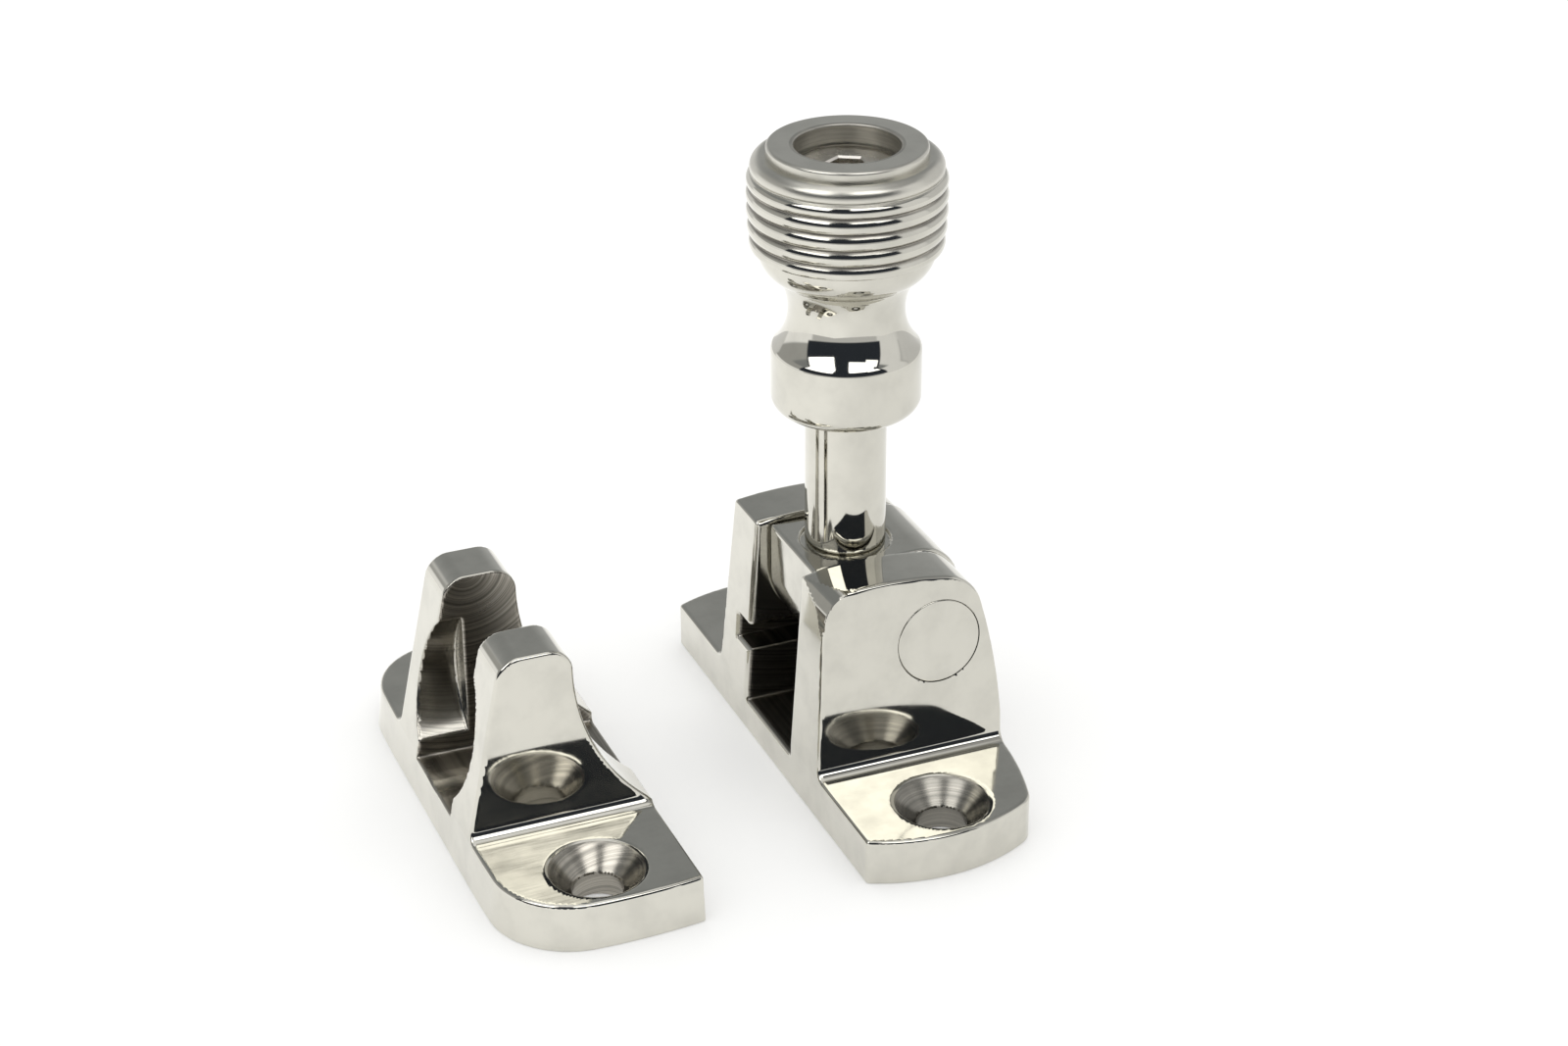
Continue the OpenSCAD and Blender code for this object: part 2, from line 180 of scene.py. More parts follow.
def plate_plan(x, y, z, size, end, side, corner, draft):
    """Plan of a plate, for x towards its arched side: an arc at each end, a flatter arc from side[0] on, a
    corner arc between them, and a straight side. All but the straight side grow by the draft downwards."""
    half_width, half_length = size
    past = np.abs(y)
    end_circle = (-2, half_length - end, end)
    side_circle = (half_width - side[1], side[0], side[1])
    arched = corner_arc(x, past, end_circle, side_circle, corner)
    middle = np.maximum(x - half_width, np.hypot(x + 2, past - half_length + end) - end)
    arched = np.where(past < side[0], middle, arched) - draft * (1 - z / PLATE)
    return round_max(arched, -half_width - x, 0.25)


def countersink(x, y, z, spot, bore=2.5):
    """Void of a screw hole: a cylinder with the bore's radius, and a 45 degree cone that opens to the mouth
    at the plate's face and ends a little above it."""
    out = np.hypot(x - spot[0], np.abs(y) - spot[1])
    cone = (out - HOLE_MOUTH - z + PLATE) * math.sqrt(0.5)
    cone = np.maximum(cone, np.maximum(out - HOLE_MOUTH - 0.3, z - PLATE - 1.5))
    return np.minimum(out - bore, cone)


def wall_section(y, z, top_half, height, draft, fillet):
    """End view of two walls on a plate: half the width is top_half at the top and grows by the draft per
    millimetre downwards, with a fillet at the plate's face."""
    wall = (np.abs(y) - top_half - draft * (height - z)) / math.hypot(1, draft)
    return round_min(wall, z - PLATE, fillet)


def cheek_outline(x, z):
    """Side view of a cheek: a front that leans back above the plate, a crown of radius 40, a back of radius
    64, and a shoulder of radius 4.5 between the crown and the back."""
    lean = 1.3 / (BODY_TOP - PLATE)
    front = (-10 + lean * (z - PLATE) - x) / math.hypot(1, lean)
    top = corner_arc(x, z, (-2.6, -15.9, 40), (-53.9, 3.5, 64), 4.5)
    return round_max(top, front, 0.3)


def corner_buffing(x, y, z, radius=3.4, tilt=math.radians(9)):
    """The outer front corner of the near cheek, buffed to a tilted cylinder: the distance from its axis,
    beyond the quadrant that faces up and forwards."""
    px, py, pz = x + 8.75, y + 11.69, z - 23.95
    c, s = math.cos(tilt), math.sin(tilt)
    across = c * px + s * py
    along = -s * px + c * py
    up = -s * along + c * pz
    left, top = across - radius, up + radius
    away = np.maximum(-top, 0) + np.maximum(left, 0)
    return np.hypot(np.minimum(left, 0), np.maximum(top, 0)) - radius - 0.3 * away


def fastener_body(x, y, z):
    """Plate and two cheeks in one casting, less the slot, the keyway in its far wall, the pivot's bore and
    the screw holes."""
    plan = plate_plan(x, y, z, (10, 26.75), 18, (10.7, 40), 2.5, 0)
    section = wall_section(y, z, CHEEK_HALF, BODY_TOP, CHEEK_DRAFT, 1.1)
    solid = round_max(section, np.maximum(plan, cheek_outline(x, z)), 0.3)
    solid = np.where(y < 0, np.maximum(solid, corner_buffing(x, y, z)), solid)
    solid = round_max(solid, -z, 0.2)
    across = np.abs(y)
    slot = round_max(across - BODY_SLOT_HALF, BODY_SLOT_FLOOR - z, 0.35)
    keyway = np.maximum(round_max(across - 8.8, np.abs(z - 10.55) - 1.25, 0.15), -y)
    lip = 0.1 + 0.6 * ramp(z, 10.4, 10.8)
    solid = round_max(solid, -round_min(slot, keyway, lip), 0.25 + 0.35 * ramp(-x, 6, 8))
    solid = round_max(solid, -countersink(x, y, z, BODY_HOLE), 0.22)
    out = np.hypot(x - PIVOT[0], z - PIVOT[1])
    bore = np.minimum(out - 3.03, np.maximum(out - 4.38, 9.6 - across))
    return np.maximum(solid, -bore)


def keep(x, y, z):
    """Plate and two horns, less the slot, the round socket on the far side and the screw holes. Each horn has
    a front that leans back, rounded top corners and a long hollow sweep of radius 21 at its back."""
    u, v = x - KEEP_LEFT, y - KEEP_SHIFT
    plan = plate_plan(9.2 - u, v, z, (9.2, 26), 60, (12, 150), 8, 0.5)
    section = wall_section(v, z, HORN_HALF, KEEP_TOP, 0.013, 1.2)
    lean = 3.9 / (KEEP_TOP - PLATE)
    front = (lean * (z - PLATE) - u) / math.hypot(1, lean)
    sweep = np.where(z < 20.9, 21 - np.hypot(u - 32.1, z - 20.9), u - 11.1)
    horn = round_max(round_max(front, z - KEEP_TOP, 2), sweep, 2.4)
    solid = round_max(section, np.maximum(plan, horn), 0.3)
    solid = round_max(solid, -z, 0.2)
    slot = round_max(np.abs(v) - KEEP_SLOT_HALF, KEEP_SLOT_FLOOR - z, 0.35)
    solid = round_max(solid, -slot, 0.22)
    socket = round_max(np.hypot(v, z - SOCKET_HEIGHT) - SOCKET_RADIUS, u - SOCKET_DEPTH, 0.2)
    solid = round_max(solid, -socket, 0.15)
    return round_max(solid, -countersink(u, v, z, KEEP_HOLE), 0.22)


def two_circles(x, z, first, second):
    """The tight band round two circles, given as (x, z, radius): the distance from either circle past its end
    of the common tangent, and from the tangent between them."""
    run = np.array((second[0] - first[0], second[1] - first[1]))
    gap = np.hypot(*run)
    along = ((x - first[0]) * run[0] + (z - first[1]) * run[1]) / gap
    aside = np.abs((x - first[0]) * run[1] - (z - first[1]) * run[0]) / gap
    slope = (first[2] - second[2]) / gap
    rise = math.sqrt(1 - slope ** 2)
    place = rise * along - slope * aside
    tangent = rise * aside + slope * along - first[2]
    return np.where(place < 0, np.hypot(along, aside) - first[2],
                    np.where(place > rise * gap, np.hypot(along - gap, aside) - second[2], tangent))


def swivel_block(x, y, z):
    """Block between the cheeks: a round nose of radius 6.85, a round heel of radius 5.1 about the pivot, a
    flat top with a shallow ring round the spindle, and a shoulder of radius 4.25 at the back."""
    nose, heel, top = (-0.5, 18.3, 6.85), (*PIVOT, 5.1), 23.45
    share = (np.clip(x, nose[0], heel[0]) - nose[0]) / (heel[0] - nose[0])
    upright = round_max(x - heel[0] - heel[2], z - top, 4.25)
    upright = round_max(nose[0] - nose[2] - x, upright, 0.4)
    side = np.where(z > nose[1] + share * (heel[1] - nose[1]), upright, two_circles(x, z, nose, heel))
    solid = round_max(side, np.abs(y) - 5.5, 0.3)
    out = np.hypot(x - SPINDLE_X, y)
    ring = round_max(out - 4.56, SPINDLE_FOOT - z, 0.1)
    return round_max(solid, -ring, 0.12)


# ---------------------------------------------------------------- meshes

def gradient(field, points, step=0.01):
    """Unit normals of a field at the points, from central differences."""
    slopes = []
    for axis in range(3):
        shift = np.zeros(3)
        shift[axis] = step
        slopes.append(field(*(points + shift).T) - field(*(points - shift).T))
    normals = np.stack(slopes, axis=1)
    return normals / np.maximum(np.linalg.norm(normals, axis=1, keepdims=True), 1e-12)


def contour(field, low, high, pitch):
    """Dual contour of the surface where the field is zero. Each grid cell that the surface crosses gets one
    point, where the tangent planes at the cell's crossed edges meet best, and each crossed edge gets the
    quad of the four cells round it. Returns points, quads and a normal for each quad's corners."""
    lines = [np.arange(low[a] - 1.37 * pitch, high[a] + 2 * pitch, pitch) for a in range(3)]
    shape = [len(line) for line in lines]
    value = field(*np.ix_(*lines)) + np.zeros(shape)
    inside = value < 0
    cells = np.array([n - 1 for n in shape])
    flat = lambda index: (index[0] * cells[1] + index[1]) * cells[2] + index[2]
    quads, cell_of, point_of, normal_of = [], [], [], []
    for axis in range(3):
        before, after = [slice(None)] * 3, [slice(None)] * 3
        before[axis], after[axis] = slice(None, -1), slice(1, None)
        starts = np.array(np.nonzero(inside[tuple(before)] != inside[tuple(after)]))
        ends = starts.copy()
        ends[axis] += 1
        p = np.stack([lines[a][starts[a]] for a in range(3)], axis=1)
        q = np.stack([lines[a][ends[a]] for a in range(3)], axis=1)
        fp, fq = value[tuple(starts)], value[tuple(ends)]
        for _ in range(6):
            middle = p + (q - p) * np.clip(fp / (fp - fq), 0.05, 0.95)[:, None]
            fm = field(*middle.T)
            same = (fm < 0) == (fp < 0)
            p, fp = np.where(same[:, None], middle, p), np.where(same, fm, fp)
            q, fq = np.where(same[:, None], q, middle), np.where(same, fq, fm)
        crossing = p + (q - p) * (fp / (fp - fq))[:, None]
        normals = gradient(field, crossing, 0.004)
        b, c = (axis + 1) % 3, (axis + 2) % 3
        corners = []
        for back_b, back_c in ((1, 1), (0, 1), (0, 0), (1, 0)):
            cell = starts.copy()
            cell[b] -= back_b
            cell[c] -= back_c
            corners.append(flat(cell))
            cell_of.append(flat(cell))
            point_of.append(crossing)
            normal_of.append(normals)
        quad = np.stack(corners, axis=1)
        leaving = inside[tuple(starts)]
        quads.append(np.where(leaving[:, None], quad, quad[:, ::-1]))
    used, place = np.unique(np.concatenate(cell_of), return_inverse=True)
    place = place.reshape(-1)
    points, normals = np.concatenate(point_of), np.concatenate(normal_of)
    total = lambda values: np.bincount(place, values, len(used))
    count = total(np.ones(len(place)))
    centre = np.stack([total(points[:, a]) / count for a in range(3)], axis=1)
    offset = np.einsum("ij,ij->i", normals, points - centre[place])
    matrix = np.stack([total(normals[:, a] * normals[:, b]) for a in range(3) for b in range(3)], axis=1)
    matrix = matrix.reshape(-1, 3, 3) + 0.03 * np.eye(3)
    pull = np.stack([total(normals[:, a] * offset) for a in range(3)], axis=1)
    move = np.linalg.solve(matrix, pull[:, :, None])[:, :, 0]
    vertices = centre + np.clip(move, -0.6 * pitch, 0.6 * pitch)
    quads = np.searchsorted(used, np.concatenate(quads))
    for _ in range(2):
        slope = gradient(field, vertices)
        vertices -= slope * np.clip(field(*vertices.T), -0.3 * pitch, 0.3 * pitch)[:, None]
    return vertices, quads, corner_normals(field, vertices, quads)


def corner_normals(field, vertices, quads):
    """A normal for each corner of each quad: the surface's own at the vertex, or a little way into the quad
    where the vertex lies on a sharp edge."""
    at_vertex = gradient(field, vertices)[quads]
    corners = vertices[quads]
    inner = 0.75 * corners + 0.25 * corners.mean(axis=1, keepdims=True)
    nearby = gradient(field, inner.reshape(-1, 3)).reshape(corners.shape)
    sharp = np.einsum("ijk,ijk->ij", at_vertex, nearby) < math.cos(math.radians(30))
    return np.where(sharp[:, :, None], nearby, at_vertex)


def write_mesh(name, vertices, quads, normals=None, caps=()):
    """An object at the origin with these vertices, given in millimetres, these quads and flat caps. Without
    corner normals, the faces are smooth up to a sharp angle."""
    loops = np.concatenate([quads.ravel(), *caps]).astype(np.int32)
    sizes = [4] * len(quads) + [len(cap) for cap in caps]
    starts = np.concatenate([[0], np.cumsum(sizes)[:-1]]).astype(np.int32)
    mesh = bpy.data.meshes.new(name)
    mesh.vertices.add(len(vertices))
    mesh.vertices.foreach_set("co", (vertices * MM).astype(np.float32).ravel())
    mesh.loops.add(len(loops))
    mesh.loops.foreach_set("vertex_index", loops)
    mesh.polygons.add(len(sizes))
    mesh.polygons.foreach_set("loop_start", starts)
    mesh.polygons.foreach_set("use_smooth", np.ones(len(sizes), dtype=bool))
    mesh.update(calc_edges=True)
    if normals is None:
        mesh.set_sharp_from_angle(angle=math.radians(28))
    else:
        ends = [np.tile(np.cross(vertices[cap[1]] - vertices[cap[0]], vertices[cap[2]] - vertices[cap[0]]),
                        (len(cap), 1)) for cap in caps]
        every = np.vstack([normals.reshape(-1, 3), *ends])
        every /= np.maximum(np.linalg.norm(every, axis=1, keepdims=True), 1e-12)
        mesh.normals_split_custom_set(every.astype(np.float32))
    piece = bpy.data.objects.new(name, mesh)
    bpy.context.scene.collection.objects.link(piece)
    return piece


# ---------------------------------------------------------------- turned profiles

def straight(start, end, step=0.25):
    """Points along a straight line, each with the normal on the line's right-hand side."""
    start, end = np.array(start, float), np.array(end, float)
    run = end - start
    length = np.hypot(*run)
    t = np.linspace(0, 1, max(2, int(math.ceil(length / step)) + 1))[:, None]
    normal = np.array((run[1], -run[0])) / length
    return np.hstack([start + run * t, np.tile(normal, (len(t), 1))])


def chain(points, steps=()):
    """Straight stretches from each point to the next, with these steps in order and 0.25 for the rest."""
    steps = (*steps, *[0.25] * len(points))
    return [straight(*stretch) for stretch in zip(points, points[1:], steps)]


def arc(centre, radius, start, end, step=6):
    """Points along an arc between two angles in degrees. Its normals point out of the circle where the arc
    turns anticlockwise, and into it where it turns clockwise."""
    count = max(3, int(math.ceil(abs(end - start) / step)) + 1)
    angle = np.radians(np.linspace(start, end, count))
    out = np.stack([np.cos(angle), np.sin(angle)], axis=1)
    return np.hstack([np.array(centre) + radius * out, out * (1 if end > start else -1)])


def turned(profile, turns, closed=True):
    """Surface of revolution about +Z at x = 0: the profile, as stretches of (radius, height, normal), carried
    round the axis. A stretch keeps its own normals, so the corners between stretches are sharp. An open
    profile starts and ends close to the axis, and its two end rings are closed with flat faces."""
    angle = np.linspace(0, 2 * math.pi, turns, endpoint=False)
    ring = np.vstack([stretch[:-1, :2] for stretch in profile] + ([] if closed else [profile[-1][-1:, :2]]))
    count = len(ring)
    vertices = np.stack([ring[:, 0] * np.cos(angle)[:, None], ring[:, 0] * np.sin(angle)[:, None],
                         ring[:, 1] + 0 * angle[:, None]], axis=2).reshape(-1, 3)
    normal_a = np.vstack([stretch[:-1, 2:] for stretch in profile])
    normal_b = np.vstack([stretch[1:, 2:] for stretch in profile])
    first = np.arange(len(normal_a))
    second = (first + 1) % count
    here = np.arange(turns)[:, None]
    there = (here + 1) % turns
    quads = np.stack([here * count + first, there * count + first, there * count + second,
                      here * count + second], axis=2).reshape(-1, 4)
    corners = []
    for turn, normal in ((here, normal_a), (there, normal_a), (there, normal_b), (here, normal_b)):
        c, s = np.cos(angle[turn]), np.sin(angle[turn])
        corners.append(np.stack([normal[:, 0] * c, normal[:, 0] * s, normal[:, 1] + 0 * c], axis=2))
    normals = np.stack(corners, axis=2).reshape(-1, 4, 3)
    start = np.arange(turns) * count
    return vertices, quads, normals, [] if closed else [start[::-1], start + count - 1]


def fall(away, radius):
    """How far an arc of the radius has fallen below its crown, at a distance along from the crown."""
    return radius - np.sqrt(np.maximum(radius ** 2 - away ** 2, 0))


def knob_radius(z):
    """Radius of the knob's outside at a height above its underside: a straight collar with a round shoulder,
    two concave arcs of the waist, a belly, a head whose ridges are round beads that meet in grooves, and a
    shoulder under the cap."""
    collar = COLLAR_RADIUS - fall(z - COLLAR_TOP, 1.2)
    waist = 5.66 + fall(np.maximum(z - 10.54, 0) + np.minimum(z - 10.39, 0), 5.39)
    belly = 8.59 - fall(z - BELLY_WIDEST, 3.46)
    head = HEAD_RADIUS - fall(z - 21.77, 40)
    radius = np.select([z < COLLAR_TOP, z < WAIST_FOOT, z < BELLY_FOOT, z < BELLY_WIDEST],
                       [COLLAR_RADIUS, collar, waist, belly], head)
    starts = (2 * FIRST_BEAD - GROOVES[0], *GROOVES)
    for low, high, bead in zip(starts, GROOVES, BEADS):
        away = np.clip(z, low, high) - (low + high) / 2
        on_bead = (z > BELLY_WIDEST) & (z > low) & (z <= high)
        radius = np.where(on_bead, radius - fall(away, bead), radius)
    shoulder = 9.18 - fall(np.minimum(z - CAP_FOOT, 0), 0.7)
    return np.where(z > GROOVES[-1], shoulder, radius)


def knob_outside(low, high=CAP_FOOT, buffed=0.05, step=0.11):
    """The knob's outside as one smooth stretch: its radius, blurred over the buffed width to soften the
    edges, at points a step apart along the curve."""
    fine = 0.01
    z = np.arange(low - 1, high + 1, fine)
    reach = np.arange(-4 * buffed, 4 * buffed + fine / 2, fine)
    weight = np.exp(-0.5 * (reach / buffed) ** 2)
    smooth = np.convolve(knob_radius(z), weight / weight.sum(), mode="same")
    inside = (z >= low - fine / 2) & (z <= high + fine / 2)
    slope = np.gradient(smooth, fine)[inside]
    z, smooth = z[inside], smooth[inside]
    length = np.concatenate([[0], np.cumsum(np.hypot(np.diff(z), np.diff(smooth)))])
    wanted = np.linspace(0, length[-1], int(length[-1] / step))
    z, radius, slope = (np.interp(wanted, length, values) for values in (z, smooth, slope))
    steep = np.hypot(1, slope)
    return np.stack([radius, z, 1 / steep, -slope / steep], axis=1)


def knob_profile():
    """The knob's closed profile from its underside: the collar's edge, the outside, the cap with its rounded
    edges, the bore with its undercut, the chamber, the tapped hole and the counterbore."""
    edge, mouth = 1.46, 4.2
    cap, step, rim, top = 7.66, 25.89, 0.3, 26.9
    bore, undercut, undercut_top, recess, bore_rim = 5.05, 5.45, 25.4, 24.9, 0.22
    chamber, chamber_foot, tapped, counterbore, counterbore_top = 4.9, 14.2, 3.06, 4.05, 4.0
    return [
        straight((mouth, 0), (COLLAR_RADIUS - edge, 0)),
        arc((COLLAR_RADIUS - edge, edge), edge, -90, 0),
        knob_outside(edge),
        arc((8.01, CAP_FOOT), 1.17, 0, 84, 4),
        *chain(((8.13, step), (cap, step), (cap, top - rim))),
        arc((cap - rim, top - rim), rim, 0, 90, 10),
        straight((cap - rim, top), (bore + bore_rim, top)),
        arc((bore + bore_rim, top - bore_rim), bore_rim, 90, 180, 15),
        *chain(((bore, top - bore_rim), (bore, undercut_top), (undercut, undercut_top), (undercut, recess),
                (chamber, recess), (chamber, chamber_foot), (tapped, chamber_foot),
                (tapped, counterbore_top), (counterbore, counterbore_top), (counterbore, 0.15), (mouth, 0)),
               (0.5, 0.25, 0.25, 0.25, 1, 1, 1, 0.25, 0.5)),
    ]


def spindle_profile():
    """The spindle's profile from its foot on the block: the shank, and a thinner end for the thread, each
    with a chamfer."""
    foot, shoulder, end = SPINDLE_FOOT, 41.6, 56.8
    shank, thread, centre = 4, 2.95, 0.4
    return chain(((centre, foot), (shank, foot), (shank, shoulder - 0.25), (shank - 0.25, shoulder),
                  (thread, shoulder), (thread, end - 0.6), (thread - 0.6, end), (centre, end)),
                 (0.25, 0.5, 0.25, 0.25, 0.1))


def cut_thread(vertices, low=41.9, high=56.3, pitch=1.0, depth=0.55):
    """Cuts a right-hand thread: between the two heights the radius falls by a clipped triangle wave of the
    height less the pitch for each turn, and the groove fades in and out over one pitch."""
    x, y, z = vertices.T
    phase = (z / pitch - np.arctan2(y, x) / (2 * math.pi)) % 1
    groove = np.clip(1.15 - 2.6 * np.abs(phase - 0.5), 0, 1)
    fade = ramp(z, low, low + pitch) * (1 - ramp(z, high - pitch, high))
    out = np.hypot(x, y)
    factor = np.where(out > 2.9, 1 - depth * groove * fade / np.maximum(out, 0.1), 1)
    return np.stack([x * factor, y * factor, z], axis=1)


def lock_profile():
    """The lock screw's closed profile: the hole of its centre pin, chamfered rims, and the socket's nominal
    wall, which hexagon() then shapes."""
    top, bottom, floor = RECESS_FLOOR, RECESS_FLOOR - 3, RECESS_FLOOR - 2.2
    hole, rim, wall = 0.65, 4.85, SOCKET_WALL
    return chain(((hole, bottom), (rim - 0.25, bottom), (rim, bottom + 0.25), (rim, top - 0.3),
                  (rim - 0.3, top), (wall + 0.2, top), (wall, top - 0.2), (wall, floor), (hole, floor),
                  (hole, bottom)))


def hexagon(vertices, flats=3.5):
    """Shapes the socket: a point's radius is stretched by the hexagon's radius at its angle over the nominal
    wall's, fully at the wall, and fading to nothing at the pin's hole and half way to the rim."""
    x, y, z = vertices.T
    out, angle = np.hypot(x, y), np.arctan2(y, x)
    turn = (angle + math.pi / 6) % (math.pi / 3) - math.pi / 6
    stretch = flats / 2 / np.cos(turn) / SOCKET_WALL - 1
    share = ramp(out, 0.8, SOCKET_WALL) * (1 - ramp(out, SOCKET_WALL + 0.2, 3.6))
    share = np.where(z < RECESS_FLOOR - 2.5, 0, share)
    factor = 1 + stretch * share
    return np.stack([x * factor, y * factor, z], axis=1)


def security_pin_profile():
    """The lock screw's centre pin: a straight pin with a domed top."""
    bottom, top = RECESS_FLOOR - 3, RECESS_FLOOR - 0.1
    return [
        straight((0.1, bottom), (0.6, bottom), 0.1),
        straight((0.6, bottom), (0.6, top - 0.3)),
        arc((0.3, top - 0.3), 0.3, 0, 90, 15),
        straight((0.3, top), (0.1, top), 0.1),
    ]


def pivot_profile():
    """The pivot pin's profile along its axis: a shaft with a wide riveted end on each side, whose rims are
    rounded a little."""
    half = CHEEK_HALF + CHEEK_DRAFT * (BODY_TOP - PIVOT[1])
    shaft, head, inner, edge, centre = 2.98, 4.32, 9.7, 0.12, 0.4
    return [
        straight((centre, -half), (head - edge, -half)),
        arc((head - edge, -half + edge), edge, -90, 0, 15),
        *chain(((head, -half + edge), (head, -inner), (shaft, -inner), (shaft, inner), (head, inner),
                (head, half - edge)), (0.5, 0.25, 1, 0.25, 0.5)),
        arc((head - edge, half - edge), edge, 0, 90, 15),
        straight((head - edge, half), (centre, half)),
    ]


def lay_across(vertices):
    """Turns a piece's axis from +Z to -Y at the pivot, and tilts its ends to lie in the cheeks' drafted
    faces: the reach sideways falls by the draft for each millimetre above the pivot."""
    x, y, z = vertices.T
    share = ramp(np.abs(z), 9, 11)
    tilt = np.sign(z) * share * CHEEK_DRAFT * y
    return np.stack([x + PIVOT[0], tilt - z, y + PIVOT[1]], axis=1)


# ---------------------------------------------------------------- materials

def node(tree, kind, inputs=None, **settings):
    """Adds a shader node with these settings. An input is a plain value, or the output socket to link."""
    made = tree.nodes.new("ShaderNode" + kind)
    for name, value in settings.items():
        setattr(made, name, value)
    for name, value in (inputs or {}).items():
        if isinstance(value, bpy.types.NodeSocket):
            tree.links.new(value, made.inputs[name])
        else:
            made.inputs[name].default_value = value
    return made


def maths(tree, operation, *values, clamp=False):
    """The output of a Math node on one to three values or sockets."""
    return node(tree, "Math", dict(enumerate(values)), operation=operation, use_clamp=clamp).outputs[0]


def mapped(tree, value, low, high, new_low, new_high):
    """A value carried from one range to another, clamped, and eased at both ends."""
    return node(tree, "MapRange", {"Value": value, "From Min": low, "From Max": high, "To Min": new_low,
                                   "To Max": new_high}, interpolation_type="SMOOTHSTEP").outputs[0]


def noise(tree, vector, scale, detail=2.0, roughness=0.5):
    """The value of a noise texture, about 0 to 1."""
    return node(tree, "TexNoise", {"Vector": vector, "Scale": scale, "Detail": detail,
                                   "Roughness": roughness}).outputs[0]


def between(tree, value, up, down, unit=MM):
    """1 between two smooth steps and 0 outside them. Up and down say where each step starts and ends."""
    return maths(tree, "MULTIPLY", mapped(tree, value, up[0] * unit, up[1] * unit, 0, 1),
                 mapped(tree, value, down[0] * unit, down[1] * unit, 1, 0))


def round_patch(tree, a, b, centre, edge, inside, outside=0):
    """One value near an axis and another away from it. The axis stands on the plane of two coordinates at the
    centre, and the step between the values starts and ends at the two distances of the edge."""
    a = maths(tree, "SUBTRACT", a, centre[0] * MM)
    b = maths(tree, "SUBTRACT", b, centre[1] * MM)
    out = maths(tree, "SQRT", maths(tree, "MULTIPLY_ADD", a, a, maths(tree, "MULTIPLY", b, b)))
    return mapped(tree, out, edge[0] * MM, edge[1] * MM, inside, outside)


def stretched(tree, vector, scale):
    """The coordinate scaled along each axis, for grain that runs one way."""
    return node(tree, "Mapping", {"Vector": vector, "Scale": scale}).outputs[0]


def metal(name, colour=None, roughness=None, wave=1.0, grain=1.0, grain_run=(1, 1, 0.04), milling_and_shade=None,
          shade_tones=((0.07, 0.062, 0.05), (0.4, 0.37, 0.32)), satin=None, uneven=0):
    """Polished nickel: slow waves left by the buffing wheel, fine grain along one direction, faint changes of
    tone and gloss. A milling function gives faces that lie in recesses cutter marks and a duller finish,
    and painted shade: a darker colour between the two tones.
    Satin lists duller bands: the lowest and highest level in millimetres, and the extra roughness. Uneven is
    the height of the swell and streaks that buffing leaves at and below the last band, in millimetres."""
    finish = bpy.context.scene.fastener_finish
    material = bpy.data.materials.new(name)
    material.use_nodes = True
    tree = material.node_tree
    tree.nodes.clear()
    place = node(tree, "TexCoord").outputs["Object"]
    waves = noise(tree, place, 110, 1.5, 0.4)
    fine = noise(tree, stretched(tree, place, grain_run), 9000, 2, 0.6)
    cloud = noise(tree, place, 260, 3, 0.6)
    colour = colour or tuple(finish.metal)
    darker = tuple(0.9 * c for c in colour[:3]) + (1,)
    tone = node(tree, "Mix", {"Factor": mapped(tree, cloud, 0.35, 0.75, 0, 1), 6: tuple(colour[:3]) + (1,),
                              7: darker}, data_type="RGBA").outputs[2]
    base = finish.roughness if roughness is None else roughness
    gloss = mapped(tree, cloud, 0.3, 0.8, base, base * 1.8 + 0.01)
    height = maths(tree, "MULTIPLY", waves, finish.wave_height * MM * wave)
    height = maths(tree, "MULTIPLY_ADD", fine, finish.grain_height * MM * grain, height)
    if satin:
        level = node(tree, "SeparateXYZ", {0: place}).outputs[2]
        for low, high, dull in satin:
            band = between(tree, level, (low - 0.1, low), (high, high + 0.15))
            gloss = maths(tree, "MULTIPLY_ADD", band, dull, gloss)
        if uneven:
            low_band = mapped(tree, level, high * MM, (high + 6) * MM, 1, 0)
            swell = noise(tree, stretched(tree, place, (0.5, 1, 1)), 230, 1, 0.4)
            streak = noise(tree, stretched(tree, place, (0.12, 1, 1)), 1500, 2, 0.6)
            streak = maths(tree, "MULTIPLY", streak, 0.003 * MM)
            swell = maths(tree, "MULTIPLY_ADD", swell, uneven * MM, streak)
            height = maths(tree, "MULTIPLY_ADD", swell, low_band, height)
    if milling_and_shade:
        milled_and_shaded, marks = milling_and_shade(tree, place)
        rough_marks = maths(tree, "MULTIPLY", maths(tree, "MULTIPLY", marks, milled_and_shaded), 0.014 * MM)
        height = maths(tree, "ADD", height, rough_marks)
        gloss = maths(tree, "MULTIPLY_ADD", milled_and_shaded, 0.25, gloss)
        # Painted shade: the recessed faces under the mask take a darker colour between the two tones, mottled
        # by the cutter marks.
        dark = node(tree, "Mix", {"Factor": mapped(tree, marks, 0.35, 0.65, 0, 1), 6: (*shade_tones[0], 1),
                                  7: (*shade_tones[1], 1)}, data_type="RGBA").outputs[2]
        tone = node(tree, "Mix", {"Factor": maths(tree, "MULTIPLY", milled_and_shaded, 0.9), 6: tone, 7: dark},
                    data_type="RGBA").outputs[2]
    bump = node(tree, "Bump", {"Height": height, "Strength": 1.0, "Distance": 1.0}).outputs[0]
    shader = node(tree, "BsdfPrincipled", {"Base Color": tone, "Roughness": gloss, "Metallic": 1.0,
                                           "Normal": bump})
    out = node(tree, "OutputMaterial")
    tree.links.new(shader.outputs[0], out.inputs["Surface"])
    return material


def ring_marks(tree, place, centre, pitch):
    """Circular cutter marks about a centre, seen from the side: noise over the distance from it."""
    local = node(tree, "VectorMath", {0: place, 1: centre}, operation="SUBTRACT").outputs[0]
    flat = node(tree, "VectorMath", {0: local, 1: (1, 0, 1)}, operation="MULTIPLY").outputs[0]
    out = node(tree, "VectorMath", {0: flat}, operation="LENGTH").outputs["Value"]
    along = node(tree, "CombineXYZ", {"X": maths(tree, "DIVIDE", out, pitch * MM)}).outputs[0]
    return noise(tree, along, 1, 3, 0.7)


